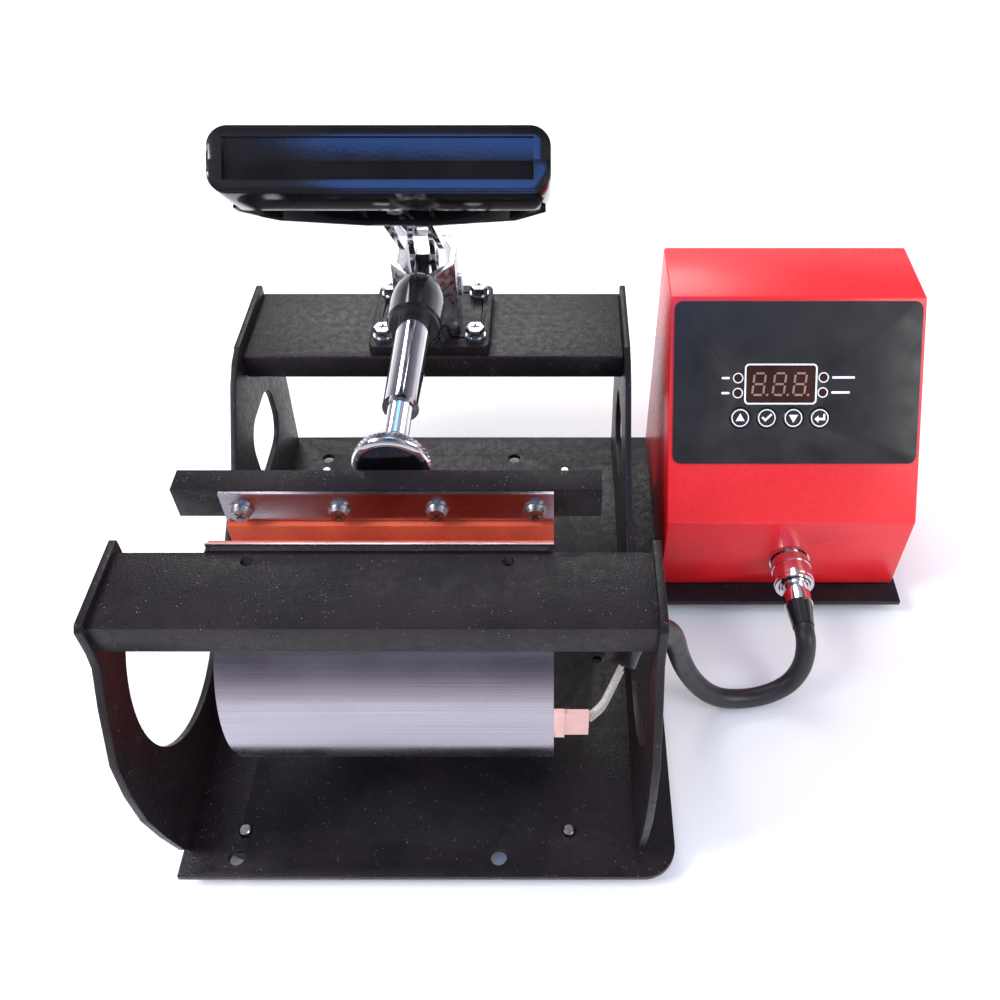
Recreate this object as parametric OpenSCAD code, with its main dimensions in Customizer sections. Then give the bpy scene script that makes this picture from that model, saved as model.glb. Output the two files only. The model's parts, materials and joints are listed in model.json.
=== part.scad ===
// Horizontal mug heat press: a steel frame, a flexible wrap-round heater, a lever clamp that
// closes it, and a control box on the same base plate.
// Millimetres, +Z up, +Y away from the operator, +X to the operator's right.
// The modules are drawn about the middle of the frame with z = 0 on the top of the base plate;
// placed() moves them so that the origin is below the middle of the whole press.

/* [Frame] */
// Distance between the inner faces of the side plates
frame_w = 190; // [180:1:200]
// Thickness of each side plate
plate_t = 3; // [2:0.5:4]
// Front edge of the base plate
base_front_y = 159; // [150:1:165]
// Rear edge of the base plate
base_rear_y = 428; // [415:1:428]
// Rear edge of the side plates
plate_rear_y = 432; // [430:1:440]
// Thickness of the base plate
base_t = 3; // [2:0.5:4]
// Height of the rubber feet
foot_h = 8; // [6:1:12]
// Top of the front crossbar
front_bar_z = 141; // [138:1:143]
// Top of the rear crossbar
rear_bar_z = 102; // [100:1:104]
// Depth of the folded lips of the crossbars
lip_h = 13; // [10:1:14]

/* [Heater] */
// Length of the heater, the height of the mug that it wraps
heater_l = 124; // [110:1:126]
// Outer radius of the steel sheet
heater_r = 46.5; // [44:0.5:47]
// Thickness of the steel sheet
sheet_t = 0.8; // [0.5:0.1:1]
// Thickness of the silicone pad
pad_t = 3; // [2:0.5:3.5]

/* [Clamp] */
// Diameter of the plunger
plunger_d = 15; // [14:0.5:16]
// Diameter of the knurled knob
knob_d = 30; // [26:1:32]
// Height of the plunger's axis above the base plate
plunger_z = 143.5; // [143:0.5:144]
// Width of the press bar
press_bar_l = 160; // [150:1:170]

/* [Handle] */
// Length of the grip
grip_l = 122; // [110:1:126]
// Thickness of the grip
grip_t = 24; // [22:1:26]

/* [Control box] */
// Width of the box
box_w = 123; // [115:1:125]
// Height of the box above the base plate
box_h = 133; // [128:1:136]
// Wall of the box
box_t = 1.5; // [1.2:0.1:2]

/* [Hidden] */
$fn = 64;
e = 0.01;

// Frame
half_w = frame_w / 2;
side_x = half_w + plate_t;
floor_z = -base_t - foot_h;
base_right_x = 112;
ext_right_x = 241;
ext_front_y = 303;
xbar_t = 3;
front_bar_y = [185, 218];
rear_bar_y = [377, 432];
ear_h = 2.5;
mouth = [232, 77];
mouth_r = 48;

// The middle of the whole press, below which the origin lies
mid_x = (ext_right_x - side_x) / 2;
mid_y = (base_front_y + plate_rear_y) / 2;

// Press: the heater, the press bar and the clamp share one centre line
press_x = -2;
heater_y = 228;
heater_z = 73;
pad_r = heater_r - sheet_t;
mug_r = pad_r - pad_t;
hinge_z = heater_z - heater_r + sheet_t / 2;
front_flange_y = 220.6;
rear_flange_y = 243.7;
bar_y = [244.5, 254.7];
bar_z = [131, 145.5];
strip_z = [130.5, 145];
flange_screw_z = 136.5;
jaw_gap = 0.6;

// Clamp
clamp_z = rear_bar_z;
clamp_plate_t = 5;
clamp_y = [379, 432];
bolt_x = 23;
bolt_y = [388, 424];
pivot_y = 402;
pivot_z = 128;
lever_angle = 45;
bush_y = [346, 377];
knob_y = [257, 265.5];
rod_front_y = 292;
pin_angle = 7.5;
pin_y = pivot_y - (plunger_z - pivot_z) * tan(pin_angle);

// Handle, measured along the lever from its pivot
grip_axis = -18;
grip_end = 136.8;
grip_depth = 24;
cradle_depth = 27;

// Control box
box_x = 116;
box_y = [315, 427];
box_bend_z = 48;
box_top_y = 384;
slope_l = norm([box_top_y - box_y[0], box_h - box_bend_z]);
slope_a = atan2(box_h - box_bend_z, box_top_y - box_y[0]);
overlay_w = 119;
overlay_l = 78;
overlay_t = 0.8;
panel_z = box_t;
key_r = 4.9;
key_row = 55.7;
key_xs = [-27, -14.1, -1.2, 11.6];
display_pos = [-7.7, 39.4];
display_size = [33.5, 18];

// Cord from the control box to the heater: its centre line, in route order
cord_d = 9.5;
cord_path = [
    [181, 272, 20.5], [181, 269, 20.5], [181.2, 265.5, 19], [181.2, 262, 15], [180.5, 259, 9.5],
    [178.5, 256.5, 4], [174.5, 254, -1], [168.5, 252, -4.5], [161, 250, -6], [152, 248.5, -6],
    [143, 247.5, -4], [135, 247, 1], [128, 246.5, 10], [122.5, 245.5, 21],
    [118, 243.5, 34], [114.5, 240, 48], [111.5, 235.5, 62], [108, 230, 75],
    [103.5, 224, 86], [98.5, 218, 94.5], [93.5, 212, 99.5], [89, 206, 100.5], [85.8, 199.8, 97.5]];
sock_x = 181;
sock_z = 20.5;

// ---- helpers -------------------------------------------------------------------------------

module placed() {
    translate([-mid_x, -mid_y, -floor_z])
        children();
}

// A 2D outline drawn in (y, z), extruded along X from x0 to x1
module along_x(x0, x1) {
    translate([x0, 0, 0])
        rotate([90, 0, 90])
            linear_extrude(x1 - x0)
                children();
}

// A cylinder that points along Y from y0 to y1
module rod_y(x, z, y0, y1, r) {
    translate([x, y1, z])
        rotate([90, 0, 0])
            cylinder(h = y1 - y0, r = r);
}

// A cylinder that points along X from x0 to x1
module rod_x(y, z, x0, x1, r) {
    translate([x0, y, z])
        rotate([0, 90, 0])
            cylinder(h = x1 - x0, r = r);
}

// A rectangle with round corners
module round_rect(w, h, r) {
    translate([-w / 2 + r, -h / 2])
        square([w - 2 * r, h]);
    translate([-w / 2, -h / 2 + r])
        square([w, h - 2 * r]);
    for (sx = [-1, 1], sy = [-1, 1])
        translate([sx * (w / 2 - r), sy * (h / 2 - r)])
            circle(r);
}

// A flat bar with round ends from p to q
module capsule(p, q, r) {
    d = q - p;
    translate(p)
        circle(r);
    translate(q)
        circle(r);
    translate(p)
        rotate(atan2(d[1], d[0]))
            translate([0, -r])
                square([norm(d), 2 * r]);
}

module hex_prism(af, h) {
    cylinder(h = h, r = af / sqrt(3), $fn = 6);
}

// ---- frame ---------------------------------------------------------------------------------

foot_places = [[-73.4, 179], [66.6, 179], [-73.4, 398], [66.6, 398], [222, 398], [222, 322]];
mount_holes = [for (x = [-74.6, 36.6], y = [167.5, 409.5]) [x, y]];

module base_outline() {
    corner_r = 14;
    polygon([[-side_x, base_front_y], [base_right_x - corner_r, base_front_y],
        [base_right_x - corner_r, base_front_y + corner_r], [base_right_x, base_front_y + corner_r],
        [base_right_x, ext_front_y], [ext_right_x, ext_front_y], [ext_right_x, base_rear_y],
        [-side_x, base_rear_y]]);
    translate([base_right_x - corner_r, base_front_y + corner_r])
        circle(corner_r);
}

module base_plate() {
    color("#1b1a1c") placed()
        difference() {
            translate([0, 0, -base_t])
                linear_extrude(base_t)
                    base_outline();
            for (p = mount_holes)
                translate([p[0], p[1], -base_t - 1])
                    cylinder(h = base_t + 2, r = 3.5);
            for (p = foot_places)
                translate([p[0], p[1], -base_t - 1])
                    cylinder(h = base_t + 2, r = 2.8);
            translate([81.5, 267, -base_t - 1])
                cylinder(h = base_t + 2, r = 2.2);
        }
}

module side_outline() {
    front_top = front_bar_z + ear_h;
    rear_top = rear_bar_z + ear_h + 3;
    difference() {
        polygon([[171, 0], [168, 6], [163.5, 28], [160.3, 50], [160.6, 70], [163.2, 88],
            [173.6, 110], [181.3, 123], [182.6, 130], [183, front_top - 2], [185, front_top],
            [222, front_top], [222, 138], [219.5, 128], [200, 110], mouth, [250, 34.5], [290, 47],
            [330, 68], [360, 98], [370, rear_top - 3], [377, rear_top - 1], [378, rear_top],
            [plate_rear_y - 1, rear_top], [plate_rear_y, rear_top - 1], [plate_rear_y, 43], [426, 0]]);
        translate(mouth)
            circle(mouth_r, $fn = 128);
        translate([381, 48])
            round_rect(44, 36, 14);
    }
}

module side_plate(x0) {
    along_x(x0, x0 + plate_t)
        side_outline();
}

module side_plate_left() {
    color("#1b1a1c") placed()
        side_plate(-side_x);
}

module side_plate_right() {
    color("#1b1a1c") placed()
        side_plate(half_w);
}

// An inverted channel between the side plates
module crossbar(y, top) {
    along_x(-half_w, half_w)
        difference() {
            translate([y[0], top - lip_h])
                square([y[1] - y[0], lip_h]);
            translate([y[0] + xbar_t, top - lip_h - 1])
                square([y[1] - y[0] - 2 * xbar_t, lip_h - xbar_t + 1]);
        }
}

front_screw_xs = [-35, 0, 35];
front_screw_z = 133;

module front_crossbar() {
    color("#1b1a1c") placed()
        difference() {
            crossbar(front_bar_y, front_bar_z);
            for (x = [-46, 46])
                translate([press_x + x, 214, front_bar_z - 5])
                    cylinder(h = 10, r = 2.1);
            for (x = front_screw_xs)
                rod_y(press_x + x, front_screw_z, 210, 222, 2.05);
        }
}

module rear_crossbar() {
    color("#1b1a1c") placed()
        difference() {
            crossbar(rear_bar_y, rear_bar_z);
            for (x = [-1, 1], y = bolt_y)
                translate([press_x + x * bolt_x, y, rear_bar_z - 6])
                    cylinder(h = 10, r = 2.75);
        }
}

module rubber_feet() {
    color("#202020") placed()
        for (p = foot_places)
            translate([p[0], p[1], floor_z])
                difference() {
                    union() {
                        cylinder(h = 2, r1 = 8, r2 = 9);
                        translate([0, 0, 2])
                            cylinder(h = foot_h - 2, r = 9);
                    }
                    translate([0, 0, foot_h - 5])
                        cylinder(h = 6, r = 2.45);
                }
}

module feet_screws() {
    color("silver") placed()
        for (p = foot_places)
            translate([p[0], p[1], -base_t - 4.9])
                union() {
                    cylinder(h = base_t + 6.4, r = 2.4);
                    translate([0, 0, base_t + 6.4])
                        cylinder(h = 0.5, r1 = 2.4, r2 = 1.9);
                }
}

// ---- heater --------------------------------------------------------------------------------

// A ring sector in (y, z) between two radii, from the bottom round to a flange
module wrap_half(r_out, r_in, side, flange_y, flange_w, top) {
    difference() {
        union() {
            difference() {
                translate([heater_y, heater_z])
                    circle(r_out, $fn = 160);
                // the other half of the ring
                translate([heater_y - (side > 0 ? 100 : 0), 0])
                    square([100, 200]);
                // what stands above the flange's foot
                translate([side > 0 ? flange_y - 100 : flange_y, heater_z])
                    square([100, 100]);
            }
            translate([flange_y, heater_z])
                square([flange_w, top - heater_z]);
        }
        translate([heater_y, heater_z])
            circle(r_in, $fn = 160);
        translate([heater_y - jaw_gap / 2, 0])
            square([jaw_gap, heater_z]);
    }
}

module along_heater() {
    along_x(press_x - heater_l / 2, press_x + heater_l / 2)
        children();
}

module screw_holes_y(xs, z, r) {
    for (x = xs)
        rod_y(press_x + x, z, 210, 262, r);
}

module heater_sheet_front() {
    color("#b9bcc0") placed()
        difference() {
            along_heater()
                wrap_half(heater_r, pad_r, -1, front_flange_y, sheet_t, front_bar_z + 1.5);
            screw_holes_y(front_screw_xs, front_screw_z, 2.05);
        }
}

module heater_pad_front() {
    color("#b5331f") placed()
        difference() {
            along_heater()
                wrap_half(pad_r, mug_r, -1, front_flange_y + sheet_t, pad_t, front_bar_z - 1);
            screw_holes_y(front_screw_xs, front_screw_z, 4.7);
        }
}

module heater_sheet_rear() {
    color("#b9bcc0") placed()
        difference() {
            along_heater()
                wrap_half(heater_r, pad_r, 1, rear_flange_y, sheet_t, strip_z[1]);
            screw_holes_y(rear_screw_xs, flange_screw_z, 2.05);
        }
}

module heater_pad_rear() {
    color("#c8472c") placed()
        along_heater()
            wrap_half(pad_r, mug_r, 1, rear_flange_y - pad_t, pad_t, strip_z[0] - 1);
}

module front_clamp_strip() {
    color("#1b1a1c") placed()
        difference() {
            translate([press_x, front_flange_y, 132])
                rotate([90, 0, 0])
                    linear_extrude(front_flange_y - front_bar_y[1])
                        round_rect(heater_l + 1, 20, 3);
            screw_holes_y(front_screw_xs, front_screw_z, 2.05);
        }
}

// Pan-head M4 screws whose heads face the heater's mouth
module front_flange_screws() {
    color("silver") placed()
        for (x = front_screw_xs)
            union() {
                rod_y(press_x + x, front_screw_z, 211, 223, 2);
                rod_y(press_x + x, front_screw_z, front_flange_y + sheet_t, 223.8, 4);
            }
}

module front_flange_nuts() {
    color("silver") placed()
        for (x = front_screw_xs)
            translate([press_x + x, front_bar_y[1] - xbar_t, front_screw_z])
                rotate([90, 0, 0])
                    difference() {
                        hex_prism(7, 3.2);
                        translate([0, 0, -1])
                            cylinder(h = 6, r = 2);
                    }
}

tab_x = press_x + heater_l / 2;

// The silicone tongue with its terminal plate, where the leads come out of the heater
module heater_lead_tab() {
    color("#d8c0b8") placed()
        union() {
            translate([tab_x, 182.2, 75])
                cube([4, 2.2, 17]);
            translate([tab_x + 4 - e, 182.8, 76])
                cube([9, 1.6, 15]);
            translate([tab_x + 3, 184.4 - e, 78])
                cube([10, 1.6, 11]);
        }
}

// A round wire along a list of points, as one swept solid
function unit(v) = v / norm(v);
function tangent(p, i) =
    let (a = p[max(i - 1, 0)], b = p[min(i + 1, len(p) - 1)]) unit(b - a);
function side_of(t) = unit(cross(t, abs(t[2]) > 0.95 ? [0, 1, 0] : [0, 0, 1]));
function ring(p, i, r, n) =
    let (t = tangent(p, i), s = side_of(t), u = cross(t, s))
    [for (k = [0:n - 1]) p[i] + r * (cos(360 * k / n) * s + sin(360 * k / n) * u)];
module swept(p, r, n) {
    rings = len(p);
    points = [for (i = [0:rings - 1]) each ring(p, i, r, n)];
    sides = [for (i = [0:rings - 2], k = [0:n - 1])
        let (a = i * n + k, b = i * n + (k + 1) % n) each [[a, b, b + n], [a, b + n, a + n]]];
    caps = [[for (k = [0:n - 1]) n - 1 - k], [for (k = [0:n - 1]) (rings - 1) * n + k]];
    polyhedron(points = points, faces = concat(sides, caps), convexity = 8);
}

// Two glass-braided wires from the terminal plate to the cord's end
module heater_leads() {
    color("#e8e4dc") placed()
        for (d = [-1.7, 1.7])
            swept([[tab_x + 13.2, 186.6, 82.2 + d], [75, 187.8, 82.6 + d], [78.3, 190, 85 + d],
                [81, 193.2, 89.2 + d], [85.3, 198.9, 97 + d]], 1.2, 8);
}

// ---- press bar -----------------------------------------------------------------------------

rear_screw_xs = [-55, -18.3, 18.3, 55];

module press_bar() {
    color("#1b1a1c") placed()
        difference() {
            translate([press_x - press_bar_l / 2, bar_y[0], bar_z[0]])
                cube([press_bar_l, bar_y[1] - bar_y[0], bar_z[1] - bar_z[0]]);
            for (x = rear_screw_xs)
                rod_y(press_x + x, flange_screw_z, bar_y[0] - 1, bar_y[0] + 8, 2.05);
        }
}

module rear_clamp_strip() {
    color("#c9ccd2") placed()
        difference() {
            translate([press_x - heater_l / 2, rear_flange_y - 1, strip_z[0]])
                cube([heater_l, 1, strip_z[1] - strip_z[0]]);
            screw_holes_y(rear_screw_xs, flange_screw_z, 2.05);
        }
}

washer_t = 0.8;

module rear_flange_washers() {
    color("silver") placed()
        for (x = rear_screw_xs)
            difference() {
                rod_y(press_x + x, flange_screw_z, rear_flange_y - 1 - washer_t, rear_flange_y - 1, 4.5);
                rod_y(press_x + x, flange_screw_z, 230, 250, 2.05);
            }
}

// Pan-head M4 screws with a cross recess
module rear_flange_screws() {
    head_y = rear_flange_y - 1 - washer_t;
    color("silver") placed()
        for (x = rear_screw_xs)
            difference() {
                union() {
                    rod_y(press_x + x, flange_screw_z, head_y - 0.1, bar_y[0] + 7.5, 2);
                    translate([press_x + x, head_y, flange_screw_z])
                        rotate([90, 0, 0])
                            cylinder(h = 2.6, r1 = 4, r2 = 3.2);
                }
                for (a = [45, 135])
                    translate([press_x + x, head_y - 2, flange_screw_z])
                        rotate([0, a, 0])
                            cube([4, 1.8, 0.8], center = true);
            }
}

// ---- clamp ---------------------------------------------------------------------------------

module clamp_base() {
    plate_l = clamp_y[1] - clamp_y[0];
    color("#161516") placed()
        difference() {
            translate([press_x, (clamp_y[0] + clamp_y[1]) / 2, clamp_z])
                linear_extrude(clamp_plate_t)
                    round_rect(60, plate_l, 4);
            for (x = [-1, 1], y = bolt_y)
                translate([press_x + x * bolt_x, y, clamp_z - 1])
                    cylinder(h = 8, r = 2.75);
        }
}

module clamp_washers() {
    color("silver") placed()
        for (x = [-1, 1], y = bolt_y)
            translate([press_x + x * bolt_x, y, clamp_z + clamp_plate_t])
                difference() {
                    union() {
                        cylinder(h = 1, r = 5);
                        cylinder(h = 2.2, r = 4.2);
                    }
                    translate([0, 0, -1])
                        cylinder(h = 5, r = 2.75);
                }
}

// M5 bolts with hexagon heads and a cross recess, and their nuts below the crossbar's top
module clamp_bolts() {
    head_z = clamp_z + clamp_plate_t + 2.2;
    color("silver") placed()
        for (x = [-1, 1], y = bolt_y)
            translate([press_x + x * bolt_x, y, 0])
                difference() {
                    union() {
                        translate([0, 0, clamp_z - xbar_t - 8])
                            cylinder(h = head_z - clamp_z + xbar_t + 8, r = 2.5);
                        translate([0, 0, head_z])
                            hex_prism(8, 3.4);
                        translate([0, 0, clamp_z - xbar_t - 4])
                            hex_prism(8, 4);
                    }
                    for (a = [0, 90])
                        translate([0, 0, head_z + 3.4])
                            rotate(a)
                                cube([4.6, 1, 2.4], center = true);
                }
}

cheek_z = [107, 147];

// One bulged cheek of the bracket, folded from 3 mm strip: lip, bulge and tail
module bracket_cheek(s) {
    color("#c4c6ca") placed()
        difference() {
            translate([press_x, 0, cheek_z[0]])
                linear_extrude(cheek_z[1] - cheek_z[0])
                    scale([s, 1])
                        polygon([[3.7, 377], [3.7, 382.5], [12, 391.5], [12.2, 405], [8.4, 413],
                            [8.4, 416], [11.4, 416], [11.4, 413.6], [15.2, 406], [15.2, 390.5],
                            [6.9, 381.5], [6.9, 377]]);
            rod_x(pivot_y, pivot_z, press_x - 30, press_x + 30, 4);
        }
}

module bracket_left() {
    bracket_cheek(-1);
}

module bracket_right() {
    bracket_cheek(1);
}

// Dome-shaped guide bush that the plunger slides in
module guide_bush() {
    l = bush_y[1] - bush_y[0];
    color("#101010") placed()
        translate([press_x, bush_y[1], plunger_z])
            rotate([90, 0, 0])
                difference() {
                    rotate_extrude($fn = 96)
                        polygon(concat([[0, 0]],
                            [for (i = [0:10]) let (a = 9 * i) [6.8 + 5.4 * sin(a), 17 * (1 - cos(a))]],
                            [[12.2, l - 2], [11.6, l - 0.6], [10.8, l], [0, l]]));
                    translate([0, 0, 3])
                        cylinder(h = l, r = plunger_d / 2 + 0.05);
                    translate([0, 0, 0])
                        cube([7.4, 13.4, 10], center = true);
                }
}

module lever_pin() {
    color("silver") placed()
        union() {
            rod_x(pivot_y, pivot_z, press_x - 15.2, press_x + 15.2, 4);
            rod_x(pivot_y, pivot_z, press_x - 16.8, press_x - 15.2 + e, 5.5);
            rod_x(pivot_y, pivot_z, press_x + 15.2 - e, press_x + 16.8, 5.5);
        }
}

rod_rear_y = 362;
stud_front_y = knob_y[0] + 3.4;

// Chrome rod with a flat tongue that runs between the bracket's lips
module plunger() {
    color("#d5d7dc") placed()
        difference() {
            union() {
                rod_y(press_x, plunger_z, rod_front_y, rod_rear_y, plunger_d / 2);
                translate([press_x - 3, rod_rear_y - e, plunger_z - 6])
                    cube([6, pin_y + 6 - rod_rear_y, 12]);
            }
            rod_y(press_x, plunger_z, rod_front_y - 1, rod_front_y + 14, 5);
            rod_x(pin_y, plunger_z, press_x - 5, press_x + 5, 3);
        }
}

// M10 stud, its thread as a row of fine grooves
module plunger_stud() {
    pitch = 1.5;
    l = rod_front_y + 14 - stud_front_y;
    color("silver") placed()
        translate([press_x, rod_front_y + 14, plunger_z])
            rotate([90, 0, 0])
                rotate_extrude($fn = 48)
                    polygon(concat([[0, 0], [5, 0]],
                        [for (i = [0:19]) let (z = 15 + i * pitch)
                            each [[5, z], [4.4, z + pitch / 2]]],
                        [[5, 15 + 20 * pitch], [5, l], [0, l]]));
}

module plunger_pin() {
    color("silver") placed()
        rod_x(pin_y, plunger_z, press_x - 6.6, press_x + 6.6, 3);
}

// Knob with a coarse straight knurl; its polished face meets the press bar
module pressure_knob() {
    w = knob_y[1] - knob_y[0];
    ridges = 60;
    color("#c8cad0") placed()
        translate([press_x, knob_y[1], plunger_z])
            rotate([90, 0, 0])
                difference() {
                    rotate_extrude($fn = 96)
                        polygon([[0, -3], [9, -3], [10, -2], [10, 0], [knob_d / 2 - 1, 0], [knob_d / 2, 1],
                            [knob_d / 2, w - 1], [knob_d / 2 - 1, w], [0, w]]);
                    translate([0, 0, -4])
                        cylinder(h = w + 4 - 2.95, r = 5.05);
                    for (i = [0:ridges - 1])
                        rotate(i * 360 / ridges)
                            translate([knob_d / 2, 0, w / 2])
                                rotate([0, 0, 45])
                                    cube([0.7, 0.7, w + 2], center = true);
                }
}

// ---- lever and handle ----------------------------------------------------------------------

// The lever's own frame: Y runs out along the handle, Z to its underside
module on_lever() {
    placed()
        translate([press_x, pivot_y, pivot_z])
            rotate([180 - lever_angle, 0, 0])
                children();
}

// The lever's travel, and the slot's two ends measured from the pivot
lever_travel = 20;
slot_near = plunger_z - pivot_z - 0.4;
slot_far = (plunger_z - pivot_z) / cos(pin_angle + lever_travel) + 0.4;

module fork_plate(x0, x1) {
    // drawn in the lever's own (y, z)
    a = -(90 - lever_angle - pin_angle);
    along_x(x0, x1)
        difference() {
            union() {
                circle(7.2);
                capsule([0, 0], [slot_far * cos(a), slot_far * sin(a)], 6.6);
                capsule([slot_far * cos(a), slot_far * sin(a)], [24, -17.5], 4.4);
            }
            circle(4.05);
            capsule([slot_near * cos(a), slot_near * sin(a)],
                [slot_far * cos(a), slot_far * sin(a)], 3.35);
        }
}

lever_end = 124;

// Chrome lever: a slotted fork on the pivot and a channel-shaped arm
module lever() {
    color("#d9dbe0") on_lever()
        union() {
            fork_plate(3.6, 6.1);
            fork_plate(-6.1, -3.6);
            // web of the arm
            translate([-10.5, 18, -22])
                cube([21, lever_end - 18, 3]);
            // side flanges of the arm, as far as the handle
            for (s = [-1, 1])
                along_x(s > 0 ? 8 : -10.5, s > 0 ? 10.5 : -8)
                    polygon([[18, -22 + e], [18, -16], [22, -12], [grip_end - 64, -12],
                        [grip_end - 52, -19.1], [grip_end - 52, -22 + e]]);
        }
}

// The outline of the grip in the plane of its long face
module grip_section(inset) {
    round_rect(grip_l - 2 * inset, grip_t - 2 * inset, 7.5 - inset);
}

grip_split = 0.5;

// Half of the moulded grip; up = 1 is the half away from the floor
module grip_half(up) {
    color("#0d0d0f") on_lever()
        difference() {
            translate([0, grip_end, grip_axis])
                rotate([90, 0, 0])
                    union() {
                        translate([0, 0, 1.6])
                            linear_extrude(grip_depth - 1.6)
                                grip_section(0);
                        translate([0, 0, 0.7])
                            linear_extrude(1)
                                grip_section(0.5);
                        linear_extrude(0.8)
                            grip_section(1.3);
                    }
            // the other half
            translate([-80, 60, up > 0 ? grip_axis + grip_split : -60])
                cube([160, 100, up > 0 ? 60 : 60 + grip_axis + grip_split]);
            // flat inset face
            translate([0, grip_end - 0.6, grip_axis])
                cube([grip_l - 12, 2, grip_t - 9], center = true);
            // slot for the lever's tongue
            translate([-10.6, grip_end - grip_depth - 1, -22.1])
                cube([21.2, lever_end - (grip_end - grip_depth) + 1.1, 3.2]);
        }
}

module grip_upper() {
    grip_half(1);
}

module grip_lower() {
    grip_half(-1);
}

cradle_top = -26;
cradle_bottom = -7;

// Outline of the cradle in plan: full width at the grip and a shallow V towards the lever
module cradle_plan(inset) {
    y1 = grip_end - grip_depth;
    y0 = y1 - cradle_depth;
    w = grip_l / 2 - 2 - inset;
    polygon([[-w, y1], [-w, y1 - 6 + inset], [-w + 12, y0 + 8 + inset], [-14, y0 + inset],
        [14, y0 + inset], [w - 12, y0 + 8 + inset], [w, y1 - 6 + inset], [w, y1]]);
}

// Open tray behind the grip, with ribs and a boss over the lever's tongue
module grip_cradle() {
    rib_xs = [-48, -34, 34, 48];
    y1 = grip_end - grip_depth;
    color("#131315") on_lever()
        difference() {
            union() {
                difference() {
                    translate([0, 0, cradle_top])
                        linear_extrude(cradle_bottom - cradle_top)
                            cradle_plan(0);
                    translate([0, 0, -18.9])
                        linear_extrude(30)
                            cradle_plan(2.4);
                }
                // a rib each side of the two windows, and the boss between them
                for (x = [-13.5, 13.5])
                    translate([x - 1, y1 - cradle_depth + 1, -19])
                        cube([2, cradle_depth - 1, 9]);
                for (x = rib_xs)
                    translate([x - 0.9, y1 - cradle_depth + 9, -19])
                        cube([1.8, cradle_depth - 9, 9]);
                translate([-4, y1 - cradle_depth + 1, -19])
                    cube([8, cradle_depth - 1, 8]);
            }
            // pocket for the lever
            translate([-10.7, y1 - cradle_depth - 1, -22.1])
                cube([21.4, cradle_depth + 2, 3.2]);
            translate([0, y1 - 13, -30])
                cylinder(h = 40, r = 2.05);
            // windows through which the tongue shows
            for (s = [-1, 1])
                translate([s * 8.2, y1 - 12, -15])
                    cube([6.6, 18, 10], center = true);
        }
}

module grip_screw() {
    y = grip_end - grip_depth - 13;
    color("silver") on_lever()
        union() {
            translate([0, y, -18.9])
                cylinder(h = 8, r = 2);
            translate([0, y, -11])
                cylinder(h = 2.4, r1 = 3.8, r2 = 3);
        }
}

// ---- control box ---------------------------------------------------------------------------

// The side profile of the box in (y, z), shrunk by the wall
module box_profile(w) {
    polygon([[box_y[0] + w, w > 0 ? -5 : 0.1], [box_y[0] + w, box_bend_z - w * 0.45],
        [box_top_y + w * 0.5, box_h - w], [box_y[1] + 5 * sign(w), box_h - w],
        [box_y[1] + 5 * sign(w), w > 0 ? -5 : 0.1]]);
}

// The panel's own frame: X along it, Y up the slope from its top edge down, Z out of it
module on_panel() {
    placed()
        translate([box_x + box_w / 2, box_top_y, box_h])
            rotate([slope_a, 0, 0])
                children();
}

module panel_at(x, down) {
    translate([x, -down - 2, 0])
        children();
}

module box_shell() {
    color("#d3222c") placed()
        difference() {
            along_x(box_x, box_x + box_w)
                box_profile(0);
            along_x(box_x + box_t, box_x + box_w - box_t)
                box_profile(box_t);
            rod_y(sock_x, sock_z, box_y[0] - 2, box_y[0] + 6, 8.05);
            // window for the display and its lamps
            translate([box_x + box_w / 2, box_top_y, box_h])
                rotate([slope_a, 0, 0])
                    translate([-7.7 - 30, -66, -5])
                        cube([60, 40, 10]);
        }
}

// The places of the screws that hold the back, as [x, z]
box_screw_places = [for (x = [box_x + 8, box_x + box_w - 8], z = [12, box_h - 12]) [x, z]];

module box_back() {
    color("#c41f28") placed()
        difference() {
            translate([box_x + box_t + 0.2, box_y[1] - box_t, 0.1])
                cube([box_w - 2 * box_t - 0.4, box_t, box_h - box_t - 0.3]);
            translate([inlet_x - 14, box_y[1] - 5, inlet_z - 10.2])
                cube([28, 10, 20.4]);
            translate([switch_x - 10.6, box_y[1] - 5, inlet_z - 7])
                cube([21.2, 10, 14]);
            for (p = box_screw_places)
                rod_y(p[0], p[1], box_y[1] - 5, box_y[1] + 5, 1.55);
            for (i = [0:7])
                translate([box_x + 30 + i * 9, box_y[1] - 5, 96])
                    cube([3, 10, 20]);
        }
}

module box_screws() {
    color("silver") placed()
        for (p = box_screw_places)
            union() {
                rod_y(p[0], p[1], box_y[1] - 8, box_y[1] + e, 1.5);
                rod_y(p[0], p[1], box_y[1], box_y[1] + 1.8, 2.8);
            }
}

module control_overlay() {
    color("#141414") on_panel()
        difference() {
            translate([0, -2 - overlay_l / 2, 0])
                linear_extrude(overlay_t)
                    round_rect(overlay_w, overlay_l, 4);
            panel_at(display_pos[0], display_pos[1])
                cube([display_size[0], display_size[1], 4], center = true);
            for (x = key_xs)
                panel_at(x, key_row)
                    translate([0, 0, -1])
                        cylinder(h = 4, r = key_r + 0.35);
            for (p = led_places)
                panel_at(p[0], p[1])
                    translate([0, 0, -1])
                        cylinder(h = 4, r = 1.9);
        }
}

led_places = [[-28.4, 36.5], [-28.4, 43.7], [12.9, 36.2], [12.7, 43.4]];

module display_window() {
    color("#3a2523") on_panel()
        panel_at(display_pos[0], display_pos[1])
            translate([0, 0, -2])
                linear_extrude(2.5)
                    square([display_size[0] - 0.2, display_size[1] - 0.2], center = true);
}

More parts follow.
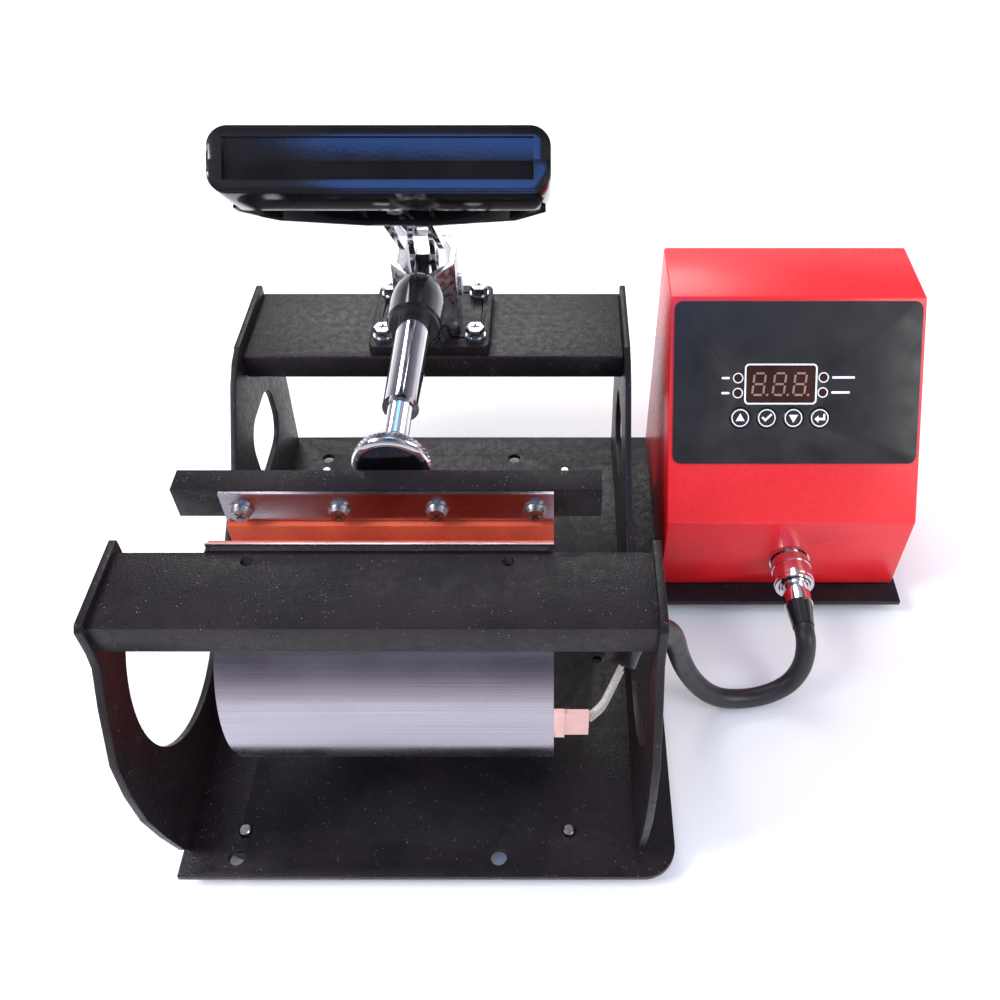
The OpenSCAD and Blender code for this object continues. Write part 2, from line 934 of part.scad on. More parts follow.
// One seven-bar figure with its point
module digit() {
    w = 5.4;
    h = 5.2;
    b = 1;
    for (z = [-h, 0, h])
        translate([0, z])
            square([w - 1.4, b], center = true);
    for (x = [-w / 2, w / 2], z = [-h / 2, h / 2])
        translate([x, z])
            square([b, h - 1.4], center = true);
    translate([w / 2 + 1.9, -h])
        circle(0.6);
}

module display_digits() {
    color("#c99c92") on_panel()
        panel_at(display_pos[0], display_pos[1])
            for (x = [-10.5, -0.6, 9.3])
                translate([x, 0, 0.5])
                    linear_extrude(0.25)
                        multmatrix([[1, 0.1, 0, 0], [0, 1, 0, 0]])
                            digit();
}

module indicator_leds() {
    color("#2a1d1c") on_panel()
        for (p = led_places)
            panel_at(p[0], p[1])
                translate([0, 0, -1.5])
                    cylinder(h = 2.4, r = 1.8);
}

// Printed circuit board behind the panel, with its relay and transformer
module control_board() {
    color("#1d6b3a") on_panel()
        union() {
            translate([-50, -76, -12])
                cube([100, 66, 1.6]);
            for (x = key_xs)
                panel_at(x, key_row)
                    translate([-3, -3, -10.5])
                        cube([6, 6, 3.5]);
            panel_at(display_pos[0], display_pos[1])
                translate([-15, -8, -10.5])
                    cube([30, 16, 8]);
        }
}

module power_relay() {
    color("#2b2b2e") placed()
        union() {
            translate([box_x + 12, 370, 0])
                cube([45, 40, 4]);
            translate([box_x + 15, 374, 4 - e])
                cube([39, 32, 22]);
        }
}

inlet_x = 206;
inlet_z = 34;
switch_x = 150;

// Appliance inlet with a fuse drawer below it
module power_inlet() {
    color("#1a1a1a") placed()
        difference() {
            union() {
                translate([inlet_x - 13.9, box_y[1] - 22, inlet_z - 10.1])
                    cube([27.8, 22.5, 20.2]);
                translate([inlet_x, box_y[1] + 2.5, inlet_z])
                    rotate([90, 0, 0])
                        linear_extrude(2.5)
                            round_rect(38, 25, 3);
            }
            translate([inlet_x - 11.5, box_y[1] - 15, inlet_z - 7.5])
                cube([23, 20, 15]);
        }
}

module power_switch_frame() {
    color("#1a1a1a") placed()
        difference() {
            union() {
                translate([switch_x - 10.5, box_y[1] - 14, inlet_z - 6.9])
                    cube([21, 14.5, 13.8]);
                translate([switch_x, box_y[1] + 1.5, inlet_z])
                    rotate([90, 0, 0])
                        linear_extrude(1.5)
                            round_rect(25, 17, 1.5);
            }
            translate([switch_x - 8.5, box_y[1] - 9, inlet_z - 5.1])
                cube([17, 14, 10.2]);
        }
}

// The rocker turns about the Z axis through switch_x
rocker_y = box_y[1] - 4;

module power_rocker() {
    color("#8c1d18") placed()
        intersection() {
            translate([switch_x, rocker_y, inlet_z - 4.7])
                linear_extrude(9.4)
                    difference() {
                        circle(9, $fn = 96);
                        translate([-20, -32])
                            square([40, 30]);
                        // the two pressing faces meet in a shallow valley
                        rotate(8)
                            translate([-20, 7])
                                square([20, 20]);
                        rotate(-8)
                            translate([0, 7])
                                square([20, 20]);
                    }
            translate([switch_x - 7.4, 400, 0])
                cube([14.8, 40, 80]);
        }
}

// One raised key of the overlay
module key(i) {
    color("#1a1a1a") on_panel()
        panel_at(key_xs[i], key_row)
            union() {
                translate([0, 0, -1.4])
                    cylinder(h = 2.4, r = key_r);
                translate([0, 0, 1 - e])
                    cylinder(h = 0.35, r1 = key_r, r2 = key_r - 0.5);
            }
}

module key_up() {
    key(0);
}

module key_ok() {
    key(1);
}

module key_down() {
    key(2);
}

module key_enter() {
    key(3);
}

// ---- socket, plug and cord -----------------------------------------------------------------

module panel_socket() {
    color("#c2c4c8") placed()
        difference() {
            union() {
                rod_y(sock_x, sock_z, box_y[0] - 9, box_y[0] + 14, 8);
                rod_y(sock_x, sock_z, box_y[0] - 2, box_y[0], 10.2);
            }
            rod_y(sock_x, sock_z, box_y[0] - 10, box_y[0] - 1, 6.05);
        }
}

module socket_nut() {
    color("#c2c4c8") placed()
        translate([sock_x, box_y[0] + box_t + 2.5, sock_z])
            rotate([90, 0, 0])
                difference() {
                    hex_prism(19, 2.5);
                    translate([0, 0, -1])
                        cylinder(h = 5, r = 8);
                }
}

// The plug's body reaches into the socket; its collar screws over it
module cord_plug() {
    color("#c9ccd1") placed()
        difference() {
            union() {
                rod_y(sock_x, sock_z, 285, box_y[0] - 1, 6);
                rod_y(sock_x, sock_z, 285, 291, 7);
                rod_y(sock_x, sock_z, 294.5, 296.5, 7.6);
            }
            rod_y(sock_x, sock_z, 284, 288, 4.75);
        }
}

module plug_collar() {
    color("#c9ccd1") placed()
        difference() {
            union() {
                rod_y(sock_x, sock_z, 297, 312, 9.6);
                rod_y(sock_x, sock_z, 299, 301, 9.9);
                rod_y(sock_x, sock_z, 307, 309, 9.9);
            }
            rod_y(sock_x, sock_z, 296, 313, 8.05);
        }
}

module cord_strain_relief() {
    color("#1c1c1e") placed()
        union() {
            translate([sock_x, 285, sock_z])
                rotate([90, 0, 0])
                    cylinder(h = 13, r1 = 6.4, r2 = 5.2);
            rod_y(sock_x, sock_z, 285 - e, 288, 4.75);
        }
}

module heater_cord() {
    color("#1c1c1e") placed()
        swept(cord_path, cord_d / 2, 12);
}

base_plate();
side_plate_left();
side_plate_right();
front_crossbar();
rear_crossbar();
rubber_feet();
feet_screws();
front_clamp_strip();
front_flange_screws();
front_flange_nuts();
heater_sheet_front();
heater_pad_front();
heater_lead_tab();
heater_leads();
clamp_base();
clamp_bolts();
clamp_washers();
bracket_left();
bracket_right();
guide_bush();
lever_pin();
heater_cord();
cord_plug();
plug_collar();
cord_strain_relief();
panel_socket();
socket_nut();
box_shell();
box_back();
box_screws();
control_overlay();
display_window();
display_digits();
indicator_leds();
control_board();
power_relay();
power_inlet();
power_switch_frame();
press_bar();
heater_sheet_rear();
heater_pad_rear();
rear_clamp_strip();
rear_flange_screws();
rear_flange_washers();
plunger();
plunger_stud();
plunger_pin();
pressure_knob();
lever();
grip_upper();
grip_lower();
grip_cradle();
grip_screw();
key_up();
key_ok();
key_down();
key_enter();
power_rocker();
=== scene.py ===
"""Mug heat press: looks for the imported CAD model. All lengths are in metres, in the CAD's own frame."""
import json
import math

import bmesh
import bpy
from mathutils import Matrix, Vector


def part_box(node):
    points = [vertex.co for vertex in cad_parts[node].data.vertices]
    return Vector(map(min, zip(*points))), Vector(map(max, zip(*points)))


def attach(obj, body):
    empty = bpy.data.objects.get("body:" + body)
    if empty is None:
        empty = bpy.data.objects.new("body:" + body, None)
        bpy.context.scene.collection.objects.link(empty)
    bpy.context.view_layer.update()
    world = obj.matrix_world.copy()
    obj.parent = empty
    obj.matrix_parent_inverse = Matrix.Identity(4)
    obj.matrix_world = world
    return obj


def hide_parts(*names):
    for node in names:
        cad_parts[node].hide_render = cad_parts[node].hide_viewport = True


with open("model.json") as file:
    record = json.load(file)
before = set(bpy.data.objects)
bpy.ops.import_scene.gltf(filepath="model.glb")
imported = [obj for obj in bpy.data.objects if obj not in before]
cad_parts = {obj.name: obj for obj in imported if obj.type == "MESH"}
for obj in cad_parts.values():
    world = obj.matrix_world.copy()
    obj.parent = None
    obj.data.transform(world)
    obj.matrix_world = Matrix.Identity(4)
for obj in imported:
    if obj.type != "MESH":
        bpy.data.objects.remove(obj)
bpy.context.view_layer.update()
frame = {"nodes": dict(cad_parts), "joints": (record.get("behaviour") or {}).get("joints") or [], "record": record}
nodes = frame["nodes"]
MM = 0.001

# ---- camera and cord ------------------------------------------------------------------------

scene = bpy.context.scene
camera = bpy.data.objects.new("camera", bpy.data.cameras.new("camera"))
scene.collection.objects.link(camera)
scene.camera = camera
camera.location = (-0.0118, -0.2955, 0.4122)
camera.rotation_euler = (math.radians(43.1), 0, 0)
camera.data.lens = 34.49
camera.data.shift_x = -0.053
camera.data.clip_start = 0.01

# The middle of the press in the coordinates that the route below is written in
MIDDLE = Vector((0.0715, 0.2955, -0.011))
CORD_DIAMETER = 0.0095
CORD_ROUTE = [
    (0.181, 0.272, 0.0205), (0.181, 0.269, 0.0205), (0.1812, 0.2655, 0.019), (0.1812, 0.262, 0.015),
    (0.1805, 0.259, 0.0095), (0.1785, 0.2565, 0.004), (0.1745, 0.254, -0.001), (0.1685, 0.252, -0.0045),
    (0.161, 0.250, -0.006), (0.152, 0.2485, -0.006), (0.143, 0.2475, -0.004), (0.135, 0.247, 0.001),
    (0.128, 0.2465, 0.010), (0.1225, 0.2455, 0.021), (0.118, 0.2435, 0.034), (0.1145, 0.240, 0.048),
    (0.1115, 0.2355, 0.062), (0.108, 0.230, 0.075), (0.1035, 0.224, 0.086), (0.0985, 0.218, 0.0945),
    (0.0935, 0.212, 0.0995), (0.089, 0.206, 0.1005), (0.0858, 0.1998, 0.0975)]


def smooth_line(points, steps):
    """The points of a smooth curve through the given ones (Catmull-Rom)."""
    line = []
    last = len(points) - 1
    for i in range(last):
        before, p, q, after = points[max(i - 1, 0)], points[i], points[i + 1], points[min(i + 2, last)]
        for k in range(steps):
            t = k / steps
            line.append(0.5 * (2 * p + (q - before) * t + (2 * before - 5 * p + 4 * q - after) * t * t
                               + (3 * p - before - 3 * q + after) * t ** 3))
    return line + [points[last]]


def tube(name, line, radius, sides=24):
    """A round tube with closed ends, swept along a line without twisting."""
    grid = bmesh.new()
    rings = []
    side = None
    for i, point in enumerate(line):
        along = (line[min(i + 1, len(line) - 1)] - line[max(i - 1, 0)]).normalized()
        side = along.orthogonal() if side is None else side - along * side.dot(along)
        side.normalize()
        other = along.cross(side)
        rings.append([grid.verts.new(point + radius * (math.cos(2 * math.pi * k / sides) * side
                                                       + math.sin(2 * math.pi * k / sides) * other))
                      for k in range(sides)])
    for ring, following in zip(rings, rings[1:]):
        for k in range(sides):
            n = (k + 1) % sides
            grid.faces.new((ring[k], ring[n], following[n], following[k]))
    grid.faces.new(reversed(rings[0]))
    grid.faces.new(rings[-1])
    data = bpy.data.meshes.new(name)
    grid.to_mesh(data)
    grid.free()
    data.shade_smooth()
    data.set_sharp_from_angle(angle=math.radians(50))
    made = bpy.data.objects.new(name, data)
    scene.collection.objects.link(made)
    return made


CORD_STEPS = 6
cord_line = smooth_line([Vector(p) - MIDDLE for p in CORD_ROUTE], CORD_STEPS)
cord = tube("cord", cord_line, CORD_DIAMETER / 2)
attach(cord, "frame")
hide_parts("heater_cord")

# ---- materials ------------------------------------------------------------------------------


class Surface:
    """A material under construction: a Principled shader and the nodes that feed it."""

    def __init__(self, name, colour, roughness, metallic=0.0):
        self.material = bpy.data.materials.new(name)
        self.material.use_nodes = True
        self.tree = self.material.node_tree
        self.shader = self.tree.nodes["Principled BSDF"]
        self.set("Base Color", (*colour, 1))
        self.set("Roughness", roughness)
        self.set("Metallic", metallic)
        coordinates = self.tree.nodes.new("ShaderNodeTexCoord")
        self.position = coordinates.outputs["Object"]
        self.normal = None

    def set(self, socket, value):
        self.shader.inputs[socket].default_value = value

    def link(self, output, socket):
        self.tree.links.new(output, self.shader.inputs[socket])

    def stretched(self, scale):
        """The position, scaled differently along each axis."""
        mapping = self.tree.nodes.new("ShaderNodeMapping")
        mapping.inputs["Scale"].default_value = scale
        self.tree.links.new(self.position, mapping.inputs["Vector"])
        return mapping.outputs["Vector"]

    def noise(self, scale, detail=3.0, roughness=0.5, vector=None):
        node = self.tree.nodes.new("ShaderNodeTexNoise")
        node.inputs["Scale"].default_value = scale
        node.inputs["Detail"].default_value = detail
        node.inputs["Roughness"].default_value = roughness
        self.tree.links.new(vector or self.position, node.inputs["Vector"])
        return node.outputs["Fac"]

    def cells(self, scale):
        node = self.tree.nodes.new("ShaderNodeTexVoronoi")
        node.inputs["Scale"].default_value = scale
        self.tree.links.new(self.position, node.inputs["Vector"])
        return node.outputs["Distance"]

    def ramp(self, factor, stops):
        """Colours or greys spread over the factor: stops are (place, colour)."""
        node = self.tree.nodes.new("ShaderNodeValToRGB")
        elements = node.color_ramp.elements
        while len(elements) < len(stops):
            elements.new(0.5)
        for element, (place, colour) in zip(elements, stops):
            element.position = place
            element.color = (colour, colour, colour, 1) if isinstance(colour, float) else (*colour, 1)
        self.tree.links.new(factor, node.inputs["Fac"])
        return node.outputs["Color"]

    def mix(self, factor, first, second):
        """The first colour where the factor is 0, the second where it is 1."""
        factor_socket, first_socket, second_socket, result_socket = 0, 6, 7, 2
        node = self.tree.nodes.new("ShaderNodeMix")
        node.data_type = "RGBA"
        for socket, value in ((factor_socket, factor), (first_socket, first), (second_socket, second)):
            if isinstance(value, bpy.types.NodeSocket):
                self.tree.links.new(value, node.inputs[socket])
            else:
                node.inputs[socket].default_value = value
        return node.outputs[result_socket]

    def bump(self, height, distance, strength=1.0):
        node = self.tree.nodes.new("ShaderNodeBump")
        node.inputs["Strength"].default_value = strength
        node.inputs["Distance"].default_value = distance
        self.tree.links.new(height, node.inputs["Height"])
        if self.normal:
            self.tree.links.new(self.normal, node.inputs["Normal"])
        self.normal = node.outputs["Normal"]
        self.link(self.normal, "Normal")


PEBBLE_SCALE = 1150


def hammertone(name, dark, light):
    """Textured black powder coat with pale sparkles in it."""
    s = Surface(name, dark, 0.34)
    cloud = s.noise(35, 2)
    base = s.ramp(cloud, [(0.3, dark), (0.75, light)])
    flakes = s.ramp(s.cells(900), [(0.0, 1.0), (0.10, 0.6), (0.16, 0.0)])
    chosen = s.ramp(s.noise(260, 2), [(0.56, 0.0), (0.64, 1.0)])
    sparkle = s.mix(chosen, (0, 0, 0, 1), flakes)
    s.link(s.mix(sparkle, base, (0.50, 0.47, 0.50, 1)), "Base Color")
    s.link(s.ramp(s.noise(300, 3), [(0.3, 0.34), (0.7, 0.52)]), "Roughness")
    s.set("Specular IOR Level", 0.26)
    s.bump(s.noise(PEBBLE_SCALE, 2, 0.45), 0.00035, 0.45)
    return s.material


def brushed(name, colour, roughness, along=(6, 2600, 2600), depth=0.00003):
    """Sheet steel with fine scratches along X and faint handling marks."""
    s = Surface(name, colour, roughness, 1.0)
    lines = s.noise(1, 4, 0.65, s.stretched(along))
    tint = tuple(c * 0.72 for c in colour)
    s.link(s.ramp(lines, [(0.3, tint), (0.7, colour)]), "Base Color")
    marks = s.noise(28, 4)
    s.link(s.ramp(marks, [(0.3, roughness * 0.75), (0.75, roughness * 1.5)]), "Roughness")
    s.bump(lines, depth, 0.6)
    s.set("Anisotropic", 0.5)
    return s.material


def plated(name, colour, roughness, wear=0.4):
    """Bright plating: cloudy tarnish, hairline scratches and slightly uneven gloss."""
    s = Surface(name, colour, roughness, 1.0)
    dull = tuple(c * (1 - 0.3 * wear) for c in colour)
    s.link(s.ramp(s.noise(140, 4), [(0.35, colour), (0.75, dull)]), "Base Color")
    s.link(s.ramp(s.noise(420, 3), [(0.3, roughness * 0.7), (0.75, roughness * 1.7)]), "Roughness")
    s.bump(s.noise(1, 3, 0.6, s.stretched((1800, 220, 1800))), 0.00002, 0.35 * wear + 0.1)
    return s.material


def moulded(name, colour, roughness, grain=1400, depth=0.00004, coat=0.0):
    """Moulded plastic or rubber with a fine grain and faint smears."""
    s = Surface(name, colour, roughness)
    lighter = tuple(min(1, c * 1.45 + 0.004) for c in colour)
    s.link(s.ramp(s.noise(60, 4), [(0.3, colour), (0.8, lighter)]), "Base Color")
    s.link(s.ramp(s.noise(90, 4), [(0.3, roughness * 0.8), (0.75, roughness * 1.3)]), "Roughness")
    s.bump(s.noise(grain, 2), depth, 0.5)
    s.set("Coat Weight", coat)
    s.set("Coat Roughness", 0.06)
    return s.material


def silicone():
    """Open-pored orange-red silicone, with painted shade darkening each pore."""
    s = Surface("silicone", (0.62, 0.085, 0.035), 0.72)
    tone = s.noise(45, 4)
    base = s.ramp(tone, [(0.3, (0.50, 0.060, 0.028)), (0.75, (0.78, 0.14, 0.055))])
    # Pores: pits pressed in by the bump, with painted shade (the dark red) inside them
    pores_and_shade = s.ramp(s.cells(620), [(0.0, 0.0), (0.22, 1.0)])
    s.link(s.mix(pores_and_shade, (0.30, 0.03, 0.015, 1), base), "Base Color")
    s.bump(pores_and_shade, 0.0003, 0.7)
    s.bump(s.noise(240, 4), 0.0005, 0.4)
    s.set("Subsurface Weight", 0.06)
    s.set("Subsurface Scale", 0.002)
    return s.material


def red_coat():
    """Satin red powder coat with a fine orange peel."""
    s = Surface("box_red", (0.70, 0.010, 0.018), 0.36)
    base = s.ramp(s.noise(22, 3), [(0.3, (0.66, 0.008, 0.015)), (0.75, (0.76, 0.014, 0.022))])
    s.link(base, "Base Color")
    s.link(s.ramp(s.noise(500, 3), [(0.3, 0.30), (0.75, 0.46)]), "Roughness")
    s.bump(s.noise(1500, 2), 0.0002, 0.45)
    s.set("Coat Weight", 0.2)
    s.set("Coat Roughness", 0.22)
    return s.material


def braided():
    """Glass-fibre sleeve: fine crossing threads."""
    s = Surface("braid", (0.80, 0.78, 0.73), 0.8)
    weave = s.cells(1900)
    s.link(s.ramp(weave, [(0.1, (0.86, 0.84, 0.80)), (0.6, (0.55, 0.52, 0.47))]), "Base Color")
    s.bump(weave, 0.0003, 0.8)
    s.set("Sheen Weight", 0.2)
    return s.material


def board():
    """Green solder mask over faint copper tracks."""
    s = Surface("board_green", (0.02, 0.16, 0.06), 0.35)
    tracks = s.ramp(s.cells(260), [(0.40, (0.02, 0.15, 0.06)), (0.46, (0.05, 0.27, 0.11))])
    s.link(tracks, "Base Color")
    s.bump(s.cells(260), 0.0001, 0.3)
    return s.material


materials = {
    "frame_black": hammertone("frame_black", (0.007, 0.005, 0.007), (0.016, 0.011, 0.014)),
    "rubber": moulded("rubber", (0.022, 0.022, 0.022), 0.8, 900, 0.0001),
    "zinc": plated("zinc", (0.52, 0.53, 0.55), 0.26, 0.8),
    "stainless": brushed("stainless", (0.47, 0.44, 0.50), 0.24),
    "silicone": silicone(),
    "silicone_pale": moulded("silicone_pale", (0.66, 0.40, 0.36), 0.6, 700, 0.0001),
    "braid": braided(),
    "black_plastic": moulded("black_plastic", (0.008, 0.008, 0.009), 0.18, coat=0.5),
    "cord_black": moulded("cord_black", (0.012, 0.012, 0.014), 0.42, 1100, 0.00006),
    "chrome": plated("chrome", (0.78, 0.79, 0.82), 0.08, 0.3),
    "box_red": red_coat(),
    "overlay_black": moulded("overlay_black", (0.010, 0.010, 0.011), 0.40, 2200, 0.00003),
    "display_dark": moulded("display_dark", (0.030, 0.010, 0.008), 0.18, 2500, 0.00001),
    "display_pink": moulded("display_pink", (0.26, 0.14, 0.12), 0.35, 2500, 0.00001),
    "board_green": board(),
    "grip_black": moulded("grip_black", (0.003, 0.003, 0.004), 0.10, 700, 0.00002),
    "switch_red": moulded("switch_red", (0.42, 0.012, 0.010), 0.22, coat=0.4),
}
print_white = moulded("print_white", (0.78, 0.78, 0.78), 0.5, 2200, 0.00001)

for subpart in frame["record"]["subparts"]:
    mesh = nodes[subpart["node"]].data
    mesh.materials.clear()
    mesh.materials.append(materials[subpart["material_slot"]])

cord.data.materials.append(materials["cord_black"])

# ---- soft edges on folded and moulded pieces ------------------------------------------------

# How round each piece's edges are, in mm
EDGE_RADII = {
    "side_plate_left": 0.5, "side_plate_right": 0.5, "front_crossbar": 1.1, "rear_crossbar": 1.1,
    "base_plate": 0.5, "press_bar": 0.7, "clamp_base": 0.5, "box_shell": 1.0, "box_back": 0.3,
    "control_overlay": 0.15, "bracket_left": 0.4, "bracket_right": 0.4, "lever": 0.4,
    "grip_cradle": 0.6, "grip_upper": 0.5, "grip_lower": 0.5, "power_inlet": 0.4,
    "power_switch_frame": 0.3, "power_rocker": 0.3, "heater_lead_tab": 0.3, "clamp_bolts": 0.25}
WELD_DISTANCE = 0.01 * MM
BEVEL_SEGMENTS = 3
BEVELLED_FROM = math.radians(35)
SPLIT_FROM = math.radians(32)


def soften_edges(piece, radius):
    """Rounds a piece's sharp edges and keeps its faces smooth."""
    weld = piece.modifiers.new("weld", "WELD")
    weld.merge_threshold = WELD_DISTANCE
    bevel = piece.modifiers.new("bevel", "BEVEL")
    bevel.width = radius * MM
    bevel.segments = BEVEL_SEGMENTS
    bevel.limit_method = "ANGLE"
    bevel.angle_limit = BEVELLED_FROM
    split = piece.modifiers.new("split", "EDGE_SPLIT")
    split.split_angle = SPLIT_FROM
    normals = piece.data.attributes.get("custom_normal")
    if normals:
        piece.data.attributes.remove(normals)
    piece.data.shade_smooth()


for node_name, edge_radius in EDGE_RADII.items():
    soften_edges(nodes[node_name], edge_radius)

# ---- mesh helpers ---------------------------------------------------------------------------


def mesh_piece(name, points, faces, material, body):
    """A mesh piece from points and faces, riding on a CAD body."""
    data = bpy.data.meshes.new(name)
    data.from_pydata(points, [], faces)
    data.validate()
    made = bpy.data.objects.new(name, data)
    scene.collection.objects.link(made)
    data.materials.append(material)
    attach(made, body)
    return made


def centre_of(node):
    low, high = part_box(node)
    return (low + high) / 2


# ---- the panel's print ----------------------------------------------------------------------

# The keys slide into the panel, so their joint gives the panel's inward direction
inward = Vector(next(j["axis"] for j in frame["joints"] if j["name"] == "up_press")).normalized()
PANEL_OUT = -inward
PANEL_UP = Vector((0, PANEL_OUT.z, -PANEL_OUT.y))
PRINT_THICKNESS = 0.12 * MM


def on_panel(centre, x, up, out=0.0):
    return centre + Vector((x, 0, 0)) + PANEL_UP * up + PANEL_OUT * out


def panel_print(name, centre, outline, body, inner=None):
    """A raised print on the panel: a filled outline, or the band between two outlines."""
    loops = [outline] if inner is None else [outline, inner]
    count = len(outline)
    points = []
    for out in (0.0, PRINT_THICKNESS):
        for loop in loops:
            points += [on_panel(centre, x, up, out) for x, up in loop]
    level = count * len(loops)
    faces = []
    for k in range(count):
        n = (k + 1) % count
        faces.append((k, n, level + n, level + k))
        if inner is not None:
            faces.append((count + n, count + k, level + count + k, level + count + n))
            faces.append((level + k, level + n, level + count + n, level + count + k))
            faces.append((n, k, count + k, count + n))
    if inner is None:
        faces.append(tuple(range(level, level + count)))
        faces.append(tuple(reversed(range(count))))
    return mesh_piece(name, points, faces, print_white, body)


def circle(radius, steps=48):
    return [(radius * math.cos(2 * math.pi * k / steps), radius * math.sin(2 * math.pi * k / steps))
            for k in range(steps)]


def rounded(width, height, radius, steps=8):
    """The outline of a rectangle with round corners, about its middle."""
    outline = []
    for corner, (sx, sy) in enumerate(((1, 1), (-1, 1), (-1, -1), (1, -1))):
        for k in range(steps + 1):
            angle = math.pi / 2 * (corner + k / steps)
            outline.append((sx * (width / 2 - radius) + radius * math.cos(angle),
                            sy * (height / 2 - radius) + radius * math.sin(angle)))
    return outline


# Prints float this far above the face they are on, so that the two never flicker
PRINT_LIFT = 0.01 * MM
# From the middle of a key's box to its face: the chamfered rim keeps that middle below half its height
KEY_FACE = 1.55 * MM
KEY_RING_OUTER = 4.25 * MM
KEY_RING_INNER = 3.75 * MM
# Plain icon outlines, in mm about the middle of each key
key_icons = {
    "up": [(-2.2, -1.5), (2.2, -1.5), (0, 2.3)],
    "down": [(-2.2, 1.5), (0, -2.3), (2.2, 1.5)],
    "ok": [(-2.6, 0.1), (-1.9, 0.8), (-0.7, -0.4), (1.9, 2.2), (2.6, 1.5), (-0.7, -1.8)],
    "enter": [(-2.6, -0.5), (-0.6, 1.3), (-0.6, 0.1), (1.6, 0.1), (1.6, 2.0), (2.6, 2.0),
              (2.6, -1.1), (-0.6, -1.1), (-0.6, -2.3)],
}
for key, icon in key_icons.items():
    middle = centre_of(f"key_{key}") + PANEL_OUT * (KEY_FACE + PRINT_LIFT)
    panel_print(f"ring_{key}", middle, circle(KEY_RING_OUTER), f"{key}_key", circle(KEY_RING_INNER))
    panel_print(f"icon_{key}", middle, [(x * MM, up * MM) for x, up in icon], f"{key}_key")

# From the middle of the display window to its face, and from there up to the overlay's face
WINDOW_HALF_THICKNESS = 1.25 * MM
OVERLAY_RISE = 0.30 * MM
on_overlay = centre_of("display_window") + PANEL_OUT * (WINDOW_HALF_THICKNESS + OVERLAY_RISE + PRINT_LIFT)
FRAME_WIDTH = 33.5 * MM
FRAME_HEIGHT = 18 * MM
FRAME_CORNER = 1.4 * MM
FRAME_BAND = 0.8 * MM
panel_print("display_frame", on_overlay,
            rounded(FRAME_WIDTH + 2 * FRAME_BAND, FRAME_HEIGHT + 2 * FRAME_BAND, FRAME_CORNER + FRAME_BAND),
            "frame", rounded(FRAME_WIDTH, FRAME_HEIGHT, FRAME_CORNER))

# Lamp rings, and a short bar beside each in place of its word
LAMP_RING_OUTER = 2.5 * MM
LAMP_RING_INNER = 2.0 * MM
BAR_HEIGHT = 1.1 * MM
BAR_CORNER = 0.5 * MM
# For each lamp, in mm: its place across and up the panel, and its bar's distance and length
lamp_places = [(-20.7, 2.9, -6.0, 4.0), (-20.7, -4.3, -6.0, 4.0),
               (20.6, 3.2, 9.6, 11.0), (20.4, -4.0, 8.6, 9.0)]
for index, (x, up, bar_x, bar_w) in enumerate(lamp_places):
    middle = on_panel(on_overlay, x * MM, up * MM)
    panel_print(f"lamp_ring_{index}", middle, circle(LAMP_RING_OUTER), "frame",
                circle(LAMP_RING_INNER))
    panel_print(f"lamp_bar_{index}", on_panel(middle, bar_x * MM, 0),
                rounded(bar_w * MM, BAR_HEIGHT, BAR_CORNER), "frame")

# ---- heater leads ---------------------------------------------------------------------------

LEAD_ROUTE = [(0.0732, 0.1866, 0.0822), (0.075, 0.1878, 0.0826), (0.0783, 0.190, 0.085),
              (0.081, 0.1932, 0.0892), (0.0853, 0.1989, 0.097)]
LEAD_RADIUS = 1.18 * MM
LEAD_SHIFT = 1.7 * MM
LEAD_STEPS = 8
LEAD_SIDES = 12
for side, shift in (("lower", -LEAD_SHIFT), ("upper", LEAD_SHIFT)):
    lead_line = smooth_line([Vector(p) + Vector((0, 0, shift)) - MIDDLE for p in LEAD_ROUTE],
                            LEAD_STEPS)
    lead = tube(f"lead_{side}", lead_line, LEAD_RADIUS, LEAD_SIDES)
    lead.data.materials.append(materials["braid"])
    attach(lead, "frame")
    if side == "lower":
        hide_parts("heater_leads")

# ---- knurled knob ---------------------------------------------------------------------------

KNURL_TEETH = 46
KNURL_PITCH = 1.9 * MM
KNURL_DEPTH = 0.42 * MM
KNURL_ROWS = 26
COLUMNS_PER_TOOTH = 8
# The knurled band, in mm: where it starts, how wide it is, and its full radius
KNURL_START = 2.1
KNURL_WIDTH = 6.3
KNURL_RADIUS = 14.9
# Its rear part tapers: from what share of the width, by how much, and how it curves
TAPER_FROM = 0.45
TAPER_DEPTH = 4.6
TAPER_CURVE = 1.3
SMALLEST_RADIUS = 0.02 * MM
# Steps from the middle of the polished face to the bore behind: (distance back, radius), in mm
KNOB_PROFILE = [(0.35, 0.0), (0.35, 11.6), (0.0, 12.4), (0.15, 13.3), (0.9, 14.3), (1.9, 14.7)]
KNOB_REAR = [(8.5, 10.0), (8.5, 10.0), (9.4, 9.9), (11.4, 9.4), (11.5, 9.0), (11.5, 5.1), (8.0, 5.1)]


def knurl(angle, back):
    """How far the diamond knurl cuts in, from 0 on a tip to 1 in a groove."""
    turn = angle / (2 * math.pi) * KNURL_TEETH
    first = abs((turn + back / KNURL_PITCH) % 1 - 0.5) * 2
    second = abs((turn - back / KNURL_PITCH) % 1 - 0.5) * 2
    return max(first, second)


